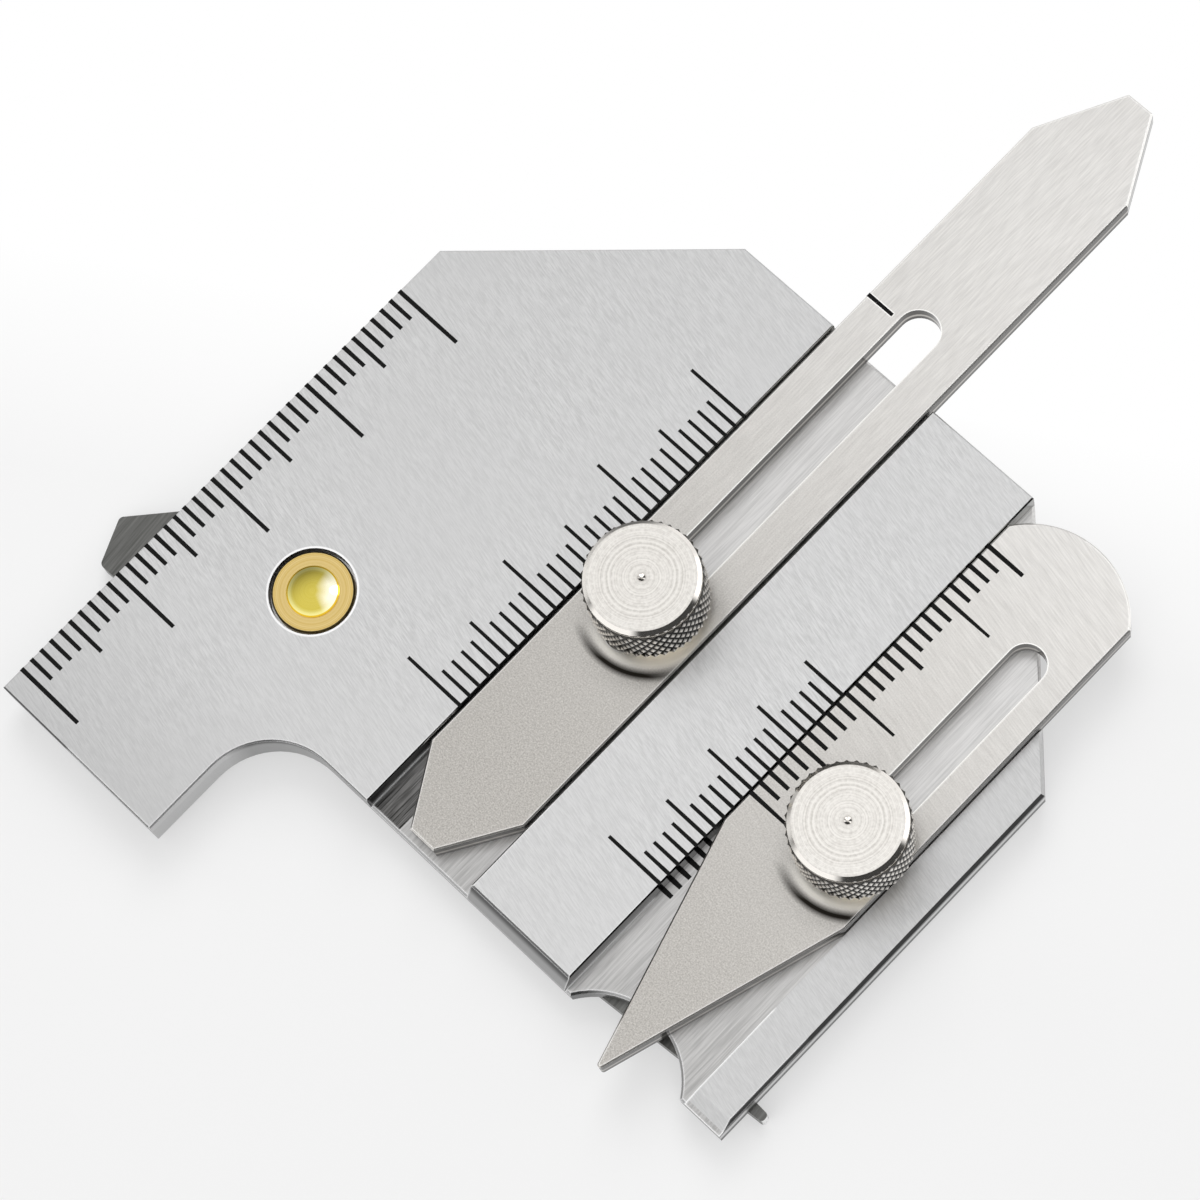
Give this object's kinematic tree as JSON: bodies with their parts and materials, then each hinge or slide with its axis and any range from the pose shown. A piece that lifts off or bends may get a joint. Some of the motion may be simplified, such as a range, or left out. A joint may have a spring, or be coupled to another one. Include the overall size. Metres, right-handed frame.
{
  "type": "weld inspection gauge",
  "caption": "Flat steel weld gauge with a stepped ruler plate, a height slide and an undercut slide clamped by knurled screws, and a tapered blade pivoted behind.",
  "frame": {"origin": "on the pivot rivet's axis, in the plane of the blade's back that the gauge lies on", "axes": "+Z out of the gauge's graduated face, +Y along the two slides away from the measuring end, +X from the tongue towards the undercut slide"},
  "size_m": [0.0674, 0.0897, 0.0111],
  "materials": {
    "plate_steel": "fine brushed stainless steel with black filled graduations",
    "slide_steel": "fine satin stainless steel, slightly warmer than the plate",
    "blade_steel": "brushed stainless steel",
    "screw_steel": "turned and diamond knurled, polished rim and neck",
    "satin_brass": "satin brass",
    "polished_brass": "polished brass"
  },
  "bodies": {
    "main": {"main_plate": "plate_steel", "pivot_bush": "satin_brass", "pivot_rivet": "polished_brass"},
    "height_slide": {"height_slide": "slide_steel"},
    "undercut_slide": {"undercut_slide": "slide_steel"},
    "blade": {"angle_blade": "blade_steel"},
    "height_screw": {"height_clamp_screw": "screw_steel"},
    "undercut_screw": {"undercut_clamp_screw": "screw_steel"}
  },
  "joints": [
    {"name": "height_travel", "type": "slide", "parent": "main", "child": "height_slide", "axis": [0, 1, 0], "range_m": [-0.0283, 0.0027]},
    {"name": "undercut_travel", "type": "slide", "parent": "main", "child": "undercut_slide", "axis": [0, 1, 0], "range_m": [-0.0179, 0.0027]},
    {"name": "blade_swing", "type": "hinge", "parent": "main", "child": "blade", "pos_m": [0, 0, 0.00075], "axis": [0, 0, 1], "continuous": true},
    {"name": "height_screw_turn", "type": "hinge", "parent": "main", "child": "height_screw", "pos_m": [0.01943, 0.0163, 0.006], "axis": [0, 0, 1], "range_deg": [0, 360]},
    {"name": "undercut_screw_turn", "type": "hinge", "parent": "main", "child": "undercut_screw", "pos_m": [0.04268, 0.0133, 0.006], "axis": [0, 0, 1], "range_deg": [0, 360]}
  ]
}
